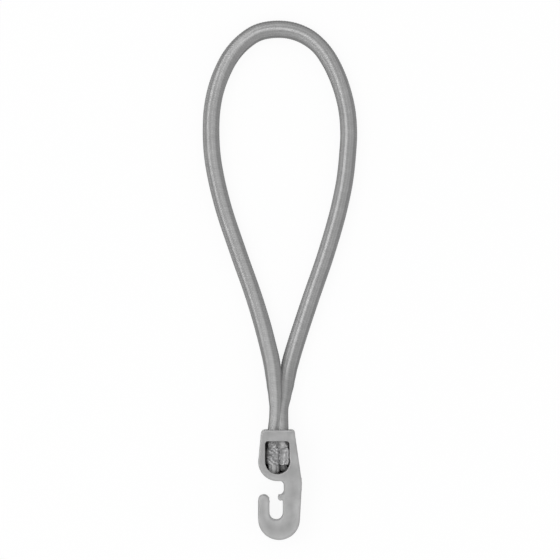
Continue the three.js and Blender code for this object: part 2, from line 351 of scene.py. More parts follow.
def placeMottle(tree, vector, cloudScale, grainScale, amount):
    node = tree.nodes.new("ShaderNodeGroup")
    node.node_tree = mottleGroup
    node.inputs["Cloud Scale"].default_value = cloudScale
    node.inputs["Grain Scale"].default_value = grainScale
    node.inputs["Amount"].default_value = amount
    tree.links.new(vector, node.inputs["Vector"])
    return node.outputs["Tone"], node.outputs["Grain"]


# a tone made lighter or darker by a value: base where that is 0, and gain more where it is 1
def shiftTone(tree, tone, value, gain, base):
    return calculate(tree, "MULTIPLY", tone, calculate(tree, "MULTIPLY_ADD", value, gain, base))


# a base colour that a tone makes lighter or darker
def toneColour(tree, shader, colour, tone):
    scale = tree.nodes.new("ShaderNodeVectorMath")
    scale.operation = "SCALE"
    scale.inputs[0].default_value = colour
    tree.links.new(tone, scale.inputs["Scale"])
    tree.links.new(scale.outputs[0], shader.inputs["Base Color"])


def addBump(tree, shader, height, distance, strength=1.0):
    bump = tree.nodes.new("ShaderNodeBump")
    bump.inputs["Distance"].default_value = distance
    bump.inputs["Strength"].default_value = strength
    tree.links.new(height, bump.inputs["Height"])
    tree.links.new(bump.outputs[0], shader.inputs["Normal"])


# the cord

cordLook = {
    "meanRadius": 2.95,       # of the sheath, between the crowns and the dips of its strands
    "around": 56,             # points in one ring
    "ringStep": 0.196,        # mm of cord between two rings
    "strands": 8,             # in each direction round the cord
    "crossing": 0.86,         # mm of cord for one crossing of strands
    "ribLift": 0.12,          # mm from the grooves to the middle of the ribs along the cord
    "strandLift": 0.13,       # mm from the edges to the middle of a strand
    "filaments": 5,           # seen side by side in a strand
    "ribShift": 0.25,         # from a strand's edge to a groove between ribs, in strands
    "flatSides": (1.3, 3.0),  # how square squeezed cord gets, and how soon
    "crumple": 0.5,           # mm, height of the folds that the crimp presses into the sheath
    "crumpledTo": (15.3, 0.6),  # mm, y that they reach, and how far below it they fade
    # scale and shift of the folds along x, y and z, of the finer ones on them, and their share
    "folds": ((0.95, 0.62, 0.4), (3.1, 0.0, 0.0)),
    "fineFolds": ((2.3, 1.7, 0.8), (0.0, 8.0, 0.0)),
    "fineShare": 0.45,
    # lumps and dents of the sheath above the crimp: x, y, height and radius in mm
    "lumps": (
        (-1.95, 14.9, -1.5, 0.5), (-1.45, 13.8, 0.6, 0.6), (2.4, 15.0, -0.8, 0.4),
        (1.8, 14.2, 0.3, 0.6), (0.5, 13.9, -0.6, 0.7), (2.7, 13.6, 1.0, 0.7),
        (-3.4, 13.7, -0.5, 0.7)),
    "lumpsFrom": (5.5, 1.5),  # mm, z where they begin, and the height in which they grow
    "wall": 0.5,              # mm, thickness of the sheath at the cut ends
    "mouth": 0.6,             # mm, depth of the cut ends' hollow
    # the braid twists slowly: share of the length, and its turn there in strands
    "twist": (
        (0, 0.75), (0.07, 0.72), (0.2, 0.25), (0.4, 0.25), (0.48, 0.75),
        (0.53, 0.75), (0.61, 0.37), (0.8, 0.37), (0.93, 0.72), (1, 0.75)),
    # the right leg leans on the left one at the neck: y in mm, and fall of its top to the right
    "lean": ((15.4, 0), (19.3, -0.22), (23, -0.46), (33, -0.5), (43, 0)),
}

# cut ends, crimp, bulge and collar on both sides, then the free loop: x, y, z in mm, and the
# cord's width and depth as shares of its diameter
leftLeg = [
    (-2.2, 5.6, 4.6, 0.62, 0.74), (-2.15, 6.7, 6.4, 0.7, 0.98), (-2.25, 7.8, 5.8, 0.56, 0.86),
    (-2.25, 12.0, 5.51, 0.46, 0.82), (-2.28, 13.3, 5.7, 0.66, 1.12), (-2.28, 14.2, 5.7, 0.71, 1.1),
    (-2.3, 15.4, 5.51, 0.68, 1.1), (-2.26, 19.3, 5.51, 0.66, 1.06),
]
rightLeg = [
    (1.04, 19.3, 5.4, 0.64, 1.04), (0.95, 15.4, 5.51, 0.67, 1.1), (0.96, 14.2, 5.7, 0.76, 1.1),
    (0.96, 13.3, 5.7, 0.73, 1.12), (0.85, 12.0, 5.51, 0.46, 0.82), (0.9, 7.8, 4.5, 0.56, 0.78),
    (0.95, 5.9, 3.4, 0.72, 0.68),
]
freeLoop = [
    (-1.82, 22.6, 5.7, 0.68, 1.02), (-1.6, 26.8, 6.0, 0.69, 1), (-1.7, 31, 6.6, 0.78, 1),
    (-2.05, 35.2, 6.8, 0.87, 1), (-2.4, 39.4, 6.6, 0.96, 1), (-3.05, 43.6, 6, 0.99, 1),
    (-4.04, 47.8, 5, 0.99, 1), (-6.24, 56.2, 3.7, 1, 1), (-8.79, 64.6, 3.1, 1, 1),
    (-14.67, 81.4, 3, 1, 1),
    (-20.19, 98.2, 3, 1, 1), (-22.25, 106.6, 3, 1, 1), (-23.68, 115, 3, 1, 1),
    (-24.17, 123.4, 3, 1, 1), (-23.75, 131.8, 3, 1, 1), (-22.4, 138.5, 3, 1, 1),
    (-20.15, 144.65, 3, 1, 1), (-17.25, 150.0, 3, 1, 1), (-13.1, 154.75, 3, 1, 1),
    (-7.95, 158.2, 3, 1, 1), (-1.9, 159.45, 3, 1, 1), (4, 159, 3, 1, 1),
    (9.3, 156.95, 3, 1, 1), (13.9, 153.3, 3, 0.97, 1), (17.4, 148.45, 3, 1, 1),
    (19.9, 143.4, 3, 1, 1), (21.7, 138.5, 3, 1, 1), (23.35, 131.8, 3, 1, 1),
    (24.08, 123.4, 3, 1, 1), (23.64, 115, 3, 1, 1), (22.71, 106.6, 3, 1, 1),
    (21.05, 98.2, 3, 1, 1), (16.35, 81.4, 3, 1, 1), (10.6, 64.6, 3, 1, 1),
    (7.79, 56.2, 3, 1, 1), (5.09, 47.8, 3.05, 1, 1), (3.85, 43.6, 3.15, 1, 1),
    (2.88, 39.4, 3.1, 0.97, 1), (2.35, 35.2, 3.3, 0.87, 1.02), (1.78, 31, 3.8, 0.72, 1.04),
    (1.0, 26.8, 4.5, 0.65, 1.02), (0.98, 22.6, 5.0, 0.64, 1.02),
]


# a smooth line through the stations, in even steps: places, shares and the length so far
def smoothRoute(stations, step):
    knots = np.array(stations, float)
    gaps = np.linalg.norm(np.diff(knots[:, :3], axis=0), axis=1)
    reach = np.concatenate([[0], np.cumsum(gaps)])
    slopes = np.gradient(knots[:, :3], reach, axis=0)
    fine = np.linspace(0, reach[-1], int(reach[-1] / step * 4))
    seat = np.clip(np.searchsorted(reach, fine, side="right") - 1, 0, len(gaps) - 1)
    span = gaps[seat][:, None]
    t = ((fine - reach[seat]) / gaps[seat])[:, None]
    places = (
        (2 * t**3 - 3 * t**2 + 1) * knots[seat, :3] + (t**3 - 2 * t**2 + t) * span * slopes[seat]
        + (3 * t**2 - 2 * t**3) * knots[seat + 1, :3] + (t**3 - t**2) * span * slopes[seat + 1])
    ease = t * t * (3 - 2 * t)
    shares = knots[seat, 3:] * (1 - ease) + knots[seat + 1, 3:] * ease
    length = np.concatenate([[0], np.cumsum(np.linalg.norm(np.diff(places, axis=0), axis=1))])
    rings = int(length[-1] / step)
    even = np.linspace(0, length[-1], rings)
    evenly = [np.interp(even, length, column) for column in np.hstack([places, shares]).T]
    return np.array(evenly[:3]).T, np.array(evenly[3:]).T, even


# height of the braid from 0 to 1: each strand goes over two others and under two
def braidHeight(around, along):
    toRight, toLeft = around + along, around - along
    right, left = np.floor(toRight), np.floor(toLeft)
    rightOnTop = (right + left) % 4 < 2
    across = np.where(rightOnTop, toRight - right, toLeft - left)
    onward = np.where(rightOnTop, (toLeft + right) % 4, (toRight + left) % 4 - 2) / 2
    return (1 - np.abs(2 * across - 1) ** 2.4) * np.sqrt(np.clip(4 * onward * (1 - onward), 0, 1))


# ribs that the strands' upper stretches form along the cord, from 0 in a groove to 1
def ribHeight(around, shift):
    return np.sin(math.pi * (around - shift)) ** 2


# folds in the sheath on both sides of the crimp, as a lift of each point
def crumpledEnds(points, look):
    lift = np.zeros(points.shape[:2])
    top, fade = look["crumpledTo"]
    lumpLow, lumpRise = look["lumpsFrom"]
    for ring in np.where(points[:, :, 1].min(axis=1) < top)[0]:
        for spoke, (x, y, z) in enumerate(points[ring]):
            fold = foldNoise((x, y, z), *look["folds"])
            fine = foldNoise((x, y, z), *look["fineFolds"])
            ramp = zeroToOne((top - y) / fade)
            lift[ring, spoke] = look["crumple"] * ramp * (fold + look["fineShare"] * fine)
            upper = zeroToOne((z - lumpLow) / lumpRise)
            for lumpX, lumpY, height, radius in look["lumps"]:
                away = ((x - lumpX) ** 2 + (y - lumpY) ** 2) / radius ** 2
                lift[ring, spoke] += height * upper * math.exp(-away)
    return lift


def makeCord(look):
    places, shares, length = smoothRoute(leftLeg + freeLoop + rightLeg, look["ringStep"])
    tangents = np.gradient(places, length, axis=0)
    tangents /= np.linalg.norm(tangents, axis=1)[:, None]
    sides = np.cross([0, 0, 1], tangents)
    sides /= np.linalg.norm(sides, axis=1)[:, None]
    ups = np.cross(tangents, sides)
    count = look["around"]
    angle = 2 * math.pi * np.arange(count) / count   # from the underside, so the seam lies there
    turn = np.interp(length / length[-1], *np.array(look["twist"], float).T)
    around = look["strands"] * angle[None, :] / (2 * math.pi) + turn[:, None]
    strand = braidHeight(around, length[:, None] / look["crossing"])
    radius = look["meanRadius"] + look["strandLift"] * (strand - 0.5)
    radius = radius + look["ribLift"] * (ribHeight(around, look["ribShift"]) - 0.5)
    # squeezed cord is flatter on its sides than an ellipse
    square, soon = look["flatSides"]
    power = 2 / (2 + square * np.clip((1 - shares[:, 0:1]) * soon, 0, 1))
    across = np.sign(np.sin(angle)) * np.abs(np.sin(angle)) ** power
    upward = np.sign(np.cos(angle)) * np.abs(np.cos(angle)) ** power
    points = (
        places[:, None, :]
        + sides[:, None, :] * (shares[:, 0:1] * across * radius)[..., None]
        - ups[:, None, :] * (shares[:, 1:2] * upward * radius)[..., None])
    rightLegHere = places[:, 0] > 0
    lean = np.interp(places[:, 1], *np.array(look["lean"], float).T) * rightLegHere
    points[..., 2] += lean[:, None] * (points[..., 0] - places[:, None, 0])
    points[..., 2] += crumpledEnds(points, look)
    # the cut ends are open as far as the rubber threads
    ends = []
    for ring, inward in ((0, tangents[0]), (-1, -tangents[-1])):
        mouth = places[ring] + (points[ring] - places[ring]) * (1 - look["wall"] / look["meanRadius"])
        ends.append((mouth, mouth + inward * look["mouth"]))
    points = np.concatenate([ends[0][::-1], points, ends[1]])
    length = np.concatenate([[0, 0], length, [length[-1]] * 2])
    turn = np.concatenate([[turn[0]] * 2, turn, [turn[-1]] * 2]) / look["strands"]
    places = np.concatenate([[places[0]] * 2, places, [places[-1]] * 2])
    rings = len(places)
    corners = np.arange(rings * count).reshape(rings, count)
    turned = np.roll(corners, -1, axis=1)
    quads = np.stack([corners[:-1], corners[1:], turned[1:], turned[:-1]], axis=-1).reshape(-1, 4)
    firstEnd = len(points.reshape(-1, 3))
    vertices = np.vstack([points.reshape(-1, 3), points[[0, -1]].mean(axis=1)])
    faces = quads.tolist()
    faces += [[firstEnd, corners[0, k], turned[0, k]] for k in range(count)]
    faces += [[firstEnd + 1, turned[-1, k], corners[-1, k]] for k in range(count)]
    mesh = bpy.data.meshes.new("bungeeCord")
    mesh.from_pydata(vertices.tolist(), [], faces)
    layer = mesh.uv_layers.new(name="alongCord")
    share = length / length[-1]
    for face, quad in zip(mesh.polygons[:len(quads)], quads):
        ring, spoke = divmod(int(quad[0]), count)
        for loop, (row, step) in zip(face.loop_indices, ((0, 0), (1, 0), (1, 1), (0, 1))):
            layer.data[loop].uv = ((spoke + step) / count + turn[ring + row], share[ring + row])
    cord = bpy.data.objects.new("bungeeCord", mesh)
    bpy.context.scene.collection.objects.link(cord)
    return cord, places[2:-2] * millimetre, length[-1]


sheathFinish = {
    "colour": (0.362, 0.362, 0.362),
    "mottle": (160.0, 9000.0, 0.16),  # scales of the clouds and the grain, and the amount
    "crownShape": 3.0,                # high for a flat strand with steep edges
    "ribShape": 1.5,
    # how far each feature of the braid spreads the tone: crown, rib and line paint shade into the
    # braid's grooves and highlight onto its raised yarns; filament, strand and side are the yarns' own
    # tone
    "toneAndShade": {"crown": 0.12, "rib": 0.22, "line": 0.16, "filament": 0.08, "strand": 0.08, "side": 0.06},
    # height of each one beside a strand's crown
    "heights": {"filament": 0.35, "line": 1.2, "grain": 0.3},
    "bump": (0.00004, 0.6),           # metres, and strength
    "metallic": 0.25,
    "roughness": 0.68,
    "anisotropic": (0.85, 0.25),      # amount, and turn
}


# 1 in the middle of a span from 0 to 1, falling to 0 at its ends
def arched(tree, value, shape):
    offset = calculate(tree, "ABSOLUTE", calculate(tree, "MULTIPLY_ADD", value, 2.0, -1.0))
    return calculate(tree, "SUBTRACT", 1.0, calculate(tree, "POWER", offset, shape))


def sheathMaterial(look, finish, length):
    material, tree, shader = newMaterial("braidedSheath")
    strands = float(look["strands"])
    uv = tree.nodes.new("ShaderNodeUVMap")
    uv.uv_map = "alongCord"
    parts = tree.nodes.new("ShaderNodeSeparateXYZ")
    tree.links.new(uv.outputs[0], parts.inputs[0])
    around = calculate(tree, "MULTIPLY", parts.outputs["X"], strands)
    along = calculate(tree, "MULTIPLY", parts.outputs["Y"], length / look["crossing"])
    toRight = calculate(tree, "ADD", around, along)
    toLeft = calculate(tree, "SUBTRACT", around, along)
    right = calculate(tree, "FLOOR", toRight)
    left = calculate(tree, "FLOOR", toLeft)
    order = calculate(tree, "FLOORED_MODULO", calculate(tree, "ADD", right, left), 4.0)
    rightOnTop = calculate(tree, "LESS_THAN", order, 1.5)

    def pickTop(whenRight, whenLeft):
        mix = tree.nodes.new("ShaderNodeMix")
        tree.links.new(rightOnTop, mix.inputs["Factor"])
        tree.links.new(whenLeft, mix.inputs["A"])
        tree.links.new(whenRight, mix.inputs["B"])
        return mix.outputs["Result"]

    across = pickTop(calculate(tree, "FRACT", toRight), calculate(tree, "FRACT", toLeft))
    crown = arched(tree, across, finish["crownShape"])
    inRib = calculate(tree, "FRACT", calculate(tree, "ADD", around, strands - look["ribShift"]))
    rib = arched(tree, inRib, finish["ribShape"])
    # the yarns that lie side by side in a rib show as fine lines along the cord, two to a strand,
    # raised in the bump and with painted shade between them
    inLine = calculate(tree, "FRACT", calculate(tree, "MULTIPLY", around, 2.0))
    line = arched(tree, inLine, finish["ribShape"])
    wave = calculate(tree, "SINE", calculate(tree, "MULTIPLY", across, 2 * math.pi * look["filaments"]))
    filament = calculate(tree, "MULTIPLY_ADD", wave, 0.5, 0.5)
    # each strand has its own tone, and 20 keeps those to the left apart from those to the right
    whichRight = calculate(tree, "FLOORED_MODULO", right, strands)
    whichLeft = calculate(tree, "ADD", calculate(tree, "FLOORED_MODULO", left, strands), 20.0)
    random = tree.nodes.new("ShaderNodeTexWhiteNoise")
    random.noise_dimensions = "1D"
    tree.links.new(pickTop(whichRight, whichLeft), random.inputs["W"])
    place = tree.nodes.new("ShaderNodeTexCoord").outputs["Object"]
    tone, grain = placeMottle(tree, place, *finish["mottle"])
    features = {
        "crown": crown, "rib": rib, "line": line, "filament": filament,
        "strand": random.outputs[0], "side": rightOnTop, "grain": grain}
    # painted shade in the grooves between strands, ribs and yarns, and painted highlight on their
    # crowns, beside the yarns' own tone
    for name, spread in finish["toneAndShade"].items():
        tone = shiftTone(tree, tone, features[name], spread, 1 - spread / 2)
    toneColour(tree, shader, finish["colour"], tone)
    height = crown
    for name, share in finish["heights"].items():
        height = calculate(tree, "MULTIPLY_ADD", features[name], share, height)
    addBump(tree, shader, height, *finish["bump"])
    # the yarn's gloss doesn't grow towards the cord's sides, as a smooth skin's would
    shader.inputs["Specular IOR Level"].default_value = 0.0
    shader.inputs["Metallic"].default_value = finish["metallic"]
    shader.inputs["Roughness"].default_value = finish["roughness"]
    # and it spreads along the cord, because the yarns lie across each other
    tangent = tree.nodes.new("ShaderNodeTangent")
    tangent.direction_type = "UV_MAP"
    tangent.uv_map = "alongCord"
    tree.links.new(tangent.outputs[0], shader.inputs["Tangent"])
    amount, turn = finish["anisotropic"]
    shader.inputs["Anisotropic"].default_value = amount
    shader.inputs["Anisotropic Rotation"].default_value = turn
    return material


coreThreads = [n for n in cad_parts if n.startswith("core_thread_")]
cord, cordPath, cordLength = makeCord(cordLook)
finishPiece(cord, "bungeeCord", sheathMaterial(cordLook, sheathFinish, cordLength))
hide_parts("cord_sheath", *coreThreads)
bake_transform(cord)


# the hook

hookForm = {
    # plan of the hook in mm, x to the right and y towards the loop
    "beyond": 8.0,                              # past both sides, where bars are trimmed back
    "collarLine": ((-6.68, 18.35), (-7.65, 7.8)),  # left side of the block, going down
    "blockLine": ((7.58, 1.4), (5.3, 17.4)),    # right side of the block, going up
    "collarRight": 5.3,
    "collarJoint": (16.0, 16.4),                # collar and block share what lies between
    "top": 19.28,
    "collarCorner": 1.2,
    "pocket": (-0.875, 8.22),                   # middle of the pocket's round bottom
    "blockRadius": 6.775,
    "blockBottom": 1.445,
    "shankLine": ((6.98, -11.9), (7.68, 0.6)),  # right side of the shank, going up
    "shoulderLine": ((7.68, 0.6), (7.18, 2.2)),
    "shankLeft": 0.98,
    "upperShankLeft": 1.3,
    "upperShankTop": 4.0,
    "bend": (-0.34, -11.9),
    "bendRadius": 7.32,
    "bendSides": 240,
    "throat": (-1.36, -9.88),
    "throatRadius": 2.34,
    "throatFillet": 1.4,
    "fingerLeft": -7.68,
    "tip": (-5.69, -5.36),
    "tipRadius": 1.99,
    "nub": (0.2, -4.55),
    "nubRadius": 0.9,
    "nubFillet": 1.75,
    "nubInset": 0.5,                            # from the faces of the shank
    "nubEdge": 0.4,
    # heights above the table
    "blockHigh": 11.02,
    "stemLow": 1.91,
    "stemHigh": 9.11,
    "middle": 5.51,
    "slope": (1.2, -3.6),                       # where the block's face runs out into the shank
    # finish
    "coarseVoxel": 0.22,
    "edgeSmoothing": 36,                        # rounds the outer edges by about 1 mm
    "fineVoxel": 0.19,
    "rimSmoothing": 5,
    "sink": (0.3, 3.4),                         # thick plastic sinks in: depth, and width from the edge
    "flatFrom": 0.75,                           # upward part of the normal on such faces
}

pocketForm = {
    "left": -5.2,
    "right": 3.27,
    "top": 15.4,
    "corner": 1.0,
    "radius": 4.325,
    "floor": 1.6,
    "open": 14.0,    # the cutter's top, above the block
    "bore": ((-4.38, 14.2, 1.76), (2.98, 19.1, 9.26)),
    "boreCorner": 2.45,
    "leadIn": 0.45,
    "boreOut": 4.0,  # how far the cutter goes on past the collar
}

mouldMarks = {
    # ejector pins on the back: x, y, radius and how deep they stand in the face below
    "pins": ((4.3, -8.8, 1.5, 1.91), (-5.6, -8.6, 1.2, 1.91), (-0.9, 3.4, 1.5, 0.0)),
    "pinDepth": 0.2,
    "gate": (1.6, -15.6, 0.75, 0.3),  # x, y, radius and height of the sprue's stub
    "sides": 48,
}

# where the J is painted paler just inside its edges, as light through the thin plastic would make it
edgeLightForm = {
    "rimDepth": 2.0,                       # sides this near to half the height are edges
    "steep": 0.6,                          # and their normals rise by less than this
    "pocket": ((-5.8, 3.5), (3.9, 15.8)),  # its walls are no edges: two corners around them
    "rim": 0.9,                            # mm in which the paleness grows from the edge
    "reach": 3.2,                          # mm from the edge to where it ends
    "block": (1.5, 3.0, 0.75),             # y where the block begins, fade in mm, share lost
}


def makeHookBody(form):
    x, y = form["pocket"]
    bendX, bendY = form["bend"]
    tipX, tipY = form["tip"]
    throatX, throatY = form["throat"]
    low, high, top = form["stemLow"], form["stemHigh"], form["blockHigh"]
    beyond = form["beyond"]
    collarLow, blockTop = form["collarJoint"]

    # parts reach a little into each other, and the remesh makes them one
    upper = addBar((-beyond, y, 0), (beyond, blockTop, top))
    trimAlong(upper, *form["collarLine"])
    trimAlong(upper, *form["blockLine"])
    collar = addBar((-beyond, collarLow, 0), (form["collarRight"], form["top"], top))
    trimAlong(collar, *form["collarLine"])
    roundEdges(
        collar, lambda a, b: isUpright(a, b) and min(a.y, b.y) > blockTop, form["collarCorner"], 8)
    lower = addBar((x, form["blockBottom"], 0), (beyond, y + 1, top))
    trimAlong(lower, *form["blockLine"])
    drum = addDrum(x, y, form["blockRadius"], 0, top)

    nubY = form["nub"][1]
    shank = addBar((form["shankLeft"], bendY, low), (beyond, nubY, high))
    trimAlong(shank, *form["shankLine"])
    upperShank = addBar(
        (form["upperShankLeft"], nubY - 0.2, low), (beyond, form["upperShankTop"], high))
    trimAlong(upperShank, *form["shankLine"])
    trimAlong(upperShank, *form["shoulderLine"])
    bend = addDrum(bendX, bendY, form["bendRadius"], low, high, form["bendSides"])
    radius = form["throatRadius"]
    cut(bend, addBar((throatX - radius, throatY, 0), (throatX + radius, 0, top)))
    cut(bend, addDrum(throatX, throatY, radius, 0, top))
    finger = addBar((form["fingerLeft"], bendY, low), (throatX - radius, tipY, high))
    tip = addDrum(tipX, tipY, form["tipRadius"], low, high)
    fillet = form["throatFillet"]
    cornerX, cornerY = form["upperShankLeft"] - fillet, form["blockBottom"] - fillet
    web = addBar((cornerX, cornerY, low), (cornerX + fillet + 0.3, cornerY + fillet + 0.3, high))
    cut(web, addDrum(cornerX, cornerY, fillet, 0, top))

    # the block's faces run out into the shank in two long slopes, front and back
    slopes = []
    slopeTop, slopeEnd = form["slope"]
    for outer, inner, facing in ((top, high, 1), (0, low, -1)):
        bottom, upmost = sorted((outer, inner - 0.5 * facing))
        wedge = addBar((form["upperShankLeft"], slopeEnd, bottom), (beyond, slopeTop, upmost))
        run, rise = slopeTop - slopeEnd, outer - inner
        trim(wedge, (0, slopeTop, outer), (0, -rise * facing, run * facing))
        trimAlong(wedge, *form["shankLine"])
        slopes.append(wedge)

    hook = joinAll(
        [upper, collar, lower, drum, shank, upperShank, bend, finger, tip, web, *slopes], "hook")
    applyModifier(hook, "REMESH", mode="VOXEL", voxel_size=form["coarseVoxel"])
    applyModifier(hook, "SMOOTH", factor=0.5, iterations=form["edgeSmoothing"])
    sinkFaces(hook, form)
    return hook


# dishes the front and back faces between their edges
def sinkFaces(obj, form):
    depth, width = form["sink"]
    flat = form["flatFrom"]
    rim = planTree([v.co for v in obj.data.vertices if abs(v.normal.z) < flat])
    moves = []
    for vertex in obj.data.vertices:
        if abs(vertex.normal.z) > flat:
            distance = rim.find((vertex.co.x, vertex.co.y, 0))[2]
            share = 1 - (1 - min(distance / width, 1)) ** 2
            moves.append((vertex, math.copysign(depth * share, -vertex.normal.z)))
    for vertex, move in moves:
        vertex.co.z += move


# writes down where the J is painted paler, just inside its edges, standing in for light through the
# thin plastic
def markPaintedEdgeLight(obj, form, middle):
    low, high = form["pocket"]
    blockY, fade, lost = form["block"]

    def isEdge(vertex):
        x, y, z = vertex.co
        if low[0] < x < high[0] and low[1] < y < high[1]:
            return False
        return abs(vertex.normal.z) < form["steep"] and abs(z - middle) < form["rimDepth"]

    rim = planTree([v.co for v in obj.data.vertices if isEdge(v)])
    edgeLight = []
    for vertex in obj.data.vertices:
        distance = rim.find((vertex.co.x, vertex.co.y, 0))[2]
        grown = min(distance / form["rim"], 1)
        left = max(1 - distance / form["reach"], 0)
        edgeLight.append(grown * left * (1 - lost * zeroToOne((vertex.co.y - blockY) / fade)))
    layer = obj.data.attributes.new("edgeLight", "FLOAT", "POINT")
    layer.data.foreach_set("value", edgeLight)


def makePocketCutter(form, plan):
    x, y = plan["pocket"]
    floor, above = form["floor"], form["open"]
    window = addBar((form["left"], y, floor), (form["right"], form["top"], above))
    roundEdges(window, lambda a, b: isUpright(a, b) and min(a.y, b.y) > y + 1, form["corner"], 8)
    cut(window, addDrum(x, y, form["radius"], floor, above), "UNION")
    low, high = form["bore"]
    bore = addBar(low, high)
    roundEdges(bore, lambda a, b: abs(a.y - b.y) > 3, form["boreCorner"], 10)
    flare = 2 * form["leadIn"]
    middle = [(a + b) / 2 for a, b in zip(low, high)]
    selectOnly(bore)
    bpy.ops.object.mode_set(mode="EDIT")
    bpy.ops.mesh.select_mode(type="FACE")
    bpy.ops.mesh.select_all(action="DESELECT")
    bpy.ops.object.mode_set(mode="OBJECT")
    for face in bore.data.polygons:
        face.select = face.normal.y > 0.9
    bpy.ops.object.mode_set(mode="EDIT")
    bpy.ops.mesh.extrude_region_move(TRANSFORM_OT_translate={"value": (0, form["leadIn"], 0)})
    bpy.ops.transform.resize(
        value=(1 + flare / (high[0] - low[0]), 1, 1 + flare / (high[2] - low[2])),
        center_override=middle)
    bpy.ops.mesh.extrude_region_move(TRANSFORM_OT_translate={"value": (0, form["boreOut"], 0)})
    bpy.ops.object.mode_set(mode="OBJECT")
    cut(window, bore, "UNION")
    return window


# the nub that keeps the hook closed, with its rounded inner corner
def makeNub(form):
    x, y = form["nub"]
    low, high = form["stemLow"] + form["nubInset"], form["stemHigh"] - form["nubInset"]
    radius, fillet = form["nubRadius"], form["nubFillet"]
    left, top = form["upperShankLeft"] - fillet, y + radius
    nub = addDrum(x, y, radius, low, high, 64)
    web = addBar((left, y, low), (left + fillet + 0.6, top + fillet, high))
    cut(web, addDrum(left, top + fillet, fillet, 0, form["blockHigh"], 96))
    cut(nub, web, "UNION")
    roundEdges(
        nub, lambda a, b: abs(a.z - b.z) < 0.01 and min(a.x, b.x) < left + fillet + 0.5,
        form["nubEdge"], 4)
    return nub


# cuts the pins' marks, and gives back the sprue's stub
def addMouldMarks(hook, marks, form):
    sides = marks["sides"]
    for x, y, radius, face in marks["pins"]:
        cut(hook, addDrum(x, y, radius, face - 1, face + marks["pinDepth"], sides))
    x, y, radius, height = marks["gate"]
    return addDrum(x, y, radius, form["stemLow"] - height, form["stemLow"] + 1, sides)


plasticFinish = {
    "colour": (0.44, 0.44, 0.44),
    "mottle": (260.0, 5200.0, 0.5),          # scales of the clouds and the grain, and the amount
    "edgeDarkening": (0.52, 0.6, -0.08),         # pointiness where the edges' darkening starts and is full, and its tone
    # painted light: how much paler the hook is made just inside its edges
    "paintedEdgeLightTone": 0.26,
    "pocketShade": (0.007, 0.2, 8),                # metres the painted shade reaches out of corners, its tone and samples
    "partingLine": (0.00009, 0.00003, 1.5),  # metres to its foot and its top, and its height
    "bump": (0.00003, 0.7),                  # metres, and strength
    "roughness": (0.14, 0.3),                # how far it follows the grain, and the least
    "specular": 0.25,
    "subsurface": (0.4, 0.0018),             # weight, and metres
}


def plasticMaterial(finish, middle):
    material, tree, shader = newMaterial("greyNylon")
    place = tree.nodes.new("ShaderNodeTexCoord").outputs["Object"]
    tone, grain = placeMottle(tree, place, *finish["mottle"])
    # sharp outer edges are made a little darker
    edge = tree.nodes.new("ShaderNodeNewGeometry").outputs["Pointiness"]
    start, full, edgeDarkTone = finish["edgeDarkening"]
    tone = shiftTone(tree, tone, rampBetween(tree, edge, start, full), edgeDarkTone, 1.0)
    # painted light: the hook is made paler towards its edges, standing in for light let through the
    # thin plastic
    edgeLight = tree.nodes.new("ShaderNodeAttribute")
    edgeLight.attribute_name = "edgeLight"
    tone = shiftTone(tree, tone, edgeLight.outputs["Fac"], finish["paintedEdgeLightTone"], 1.0)
    # painted shade: the pocket and other recesses are darkened where ambient occlusion finds walls
    # nearby
    reach, pocketShadeTone, samples = finish["pocketShade"]
    unoccluded = tree.nodes.new("ShaderNodeAmbientOcclusion")
    unoccluded.samples = samples
    unoccluded.only_local = True
    unoccluded.inputs["Distance"].default_value = reach
    tone = shiftTone(tree, tone, unoccluded.outputs["AO"], pocketShadeTone, 1 - pocketShadeTone)
    toneColour(tree, shader, finish["colour"], tone)
    # the parting line runs round the sides at half the height
    parts = tree.nodes.new("ShaderNodeSeparateXYZ")
    tree.links.new(place, parts.inputs[0])
    offset = calculate(tree, "ABSOLUTE", calculate(tree, "SUBTRACT", parts.outputs["Z"], middle))
    foot, crest, lineHeight = finish["partingLine"]
    ridge = rampBetween(tree, offset, foot, crest)
    addBump(tree, shader, calculate(tree, "MULTIPLY_ADD", ridge, lineHeight, grain), *finish["bump"])
    rough = calculate(tree, "MULTIPLY_ADD", grain, *finish["roughness"])
    tree.links.new(rough, shader.inputs["Roughness"])
    weight, depth = finish["subsurface"]
    shader.inputs["Specular IOR Level"].default_value = finish["specular"]
    shader.inputs["Subsurface Weight"].default_value = weight
    shader.inputs["Subsurface Scale"].default_value = depth
    shader.inputs["Subsurface Radius"].default_value = (1.0, 1.0, 1.0)
    return material


hook = makeHookBody(hookForm)
cut(hook, makePocketCutter(pocketForm, hookForm))
stub = addMouldMarks(hook, mouldMarks, hookForm)
hook = joinAll([hook, makeNub(hookForm), stub], "hook")
applyModifier(hook, "REMESH", mode="VOXEL", voxel_size=hookForm["fineVoxel"])
applyModifier(hook, "SMOOTH", factor=0.5, iterations=hookForm["rimSmoothing"])
markPaintedEdgeLight(hook, edgeLightForm, hookForm["middle"])
finishPiece(hook, "mouldedHook", plasticMaterial(plasticFinish, hookForm["middle"] * millimetre))
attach(hook, "hook")
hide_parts("hook_body")


# the crimp

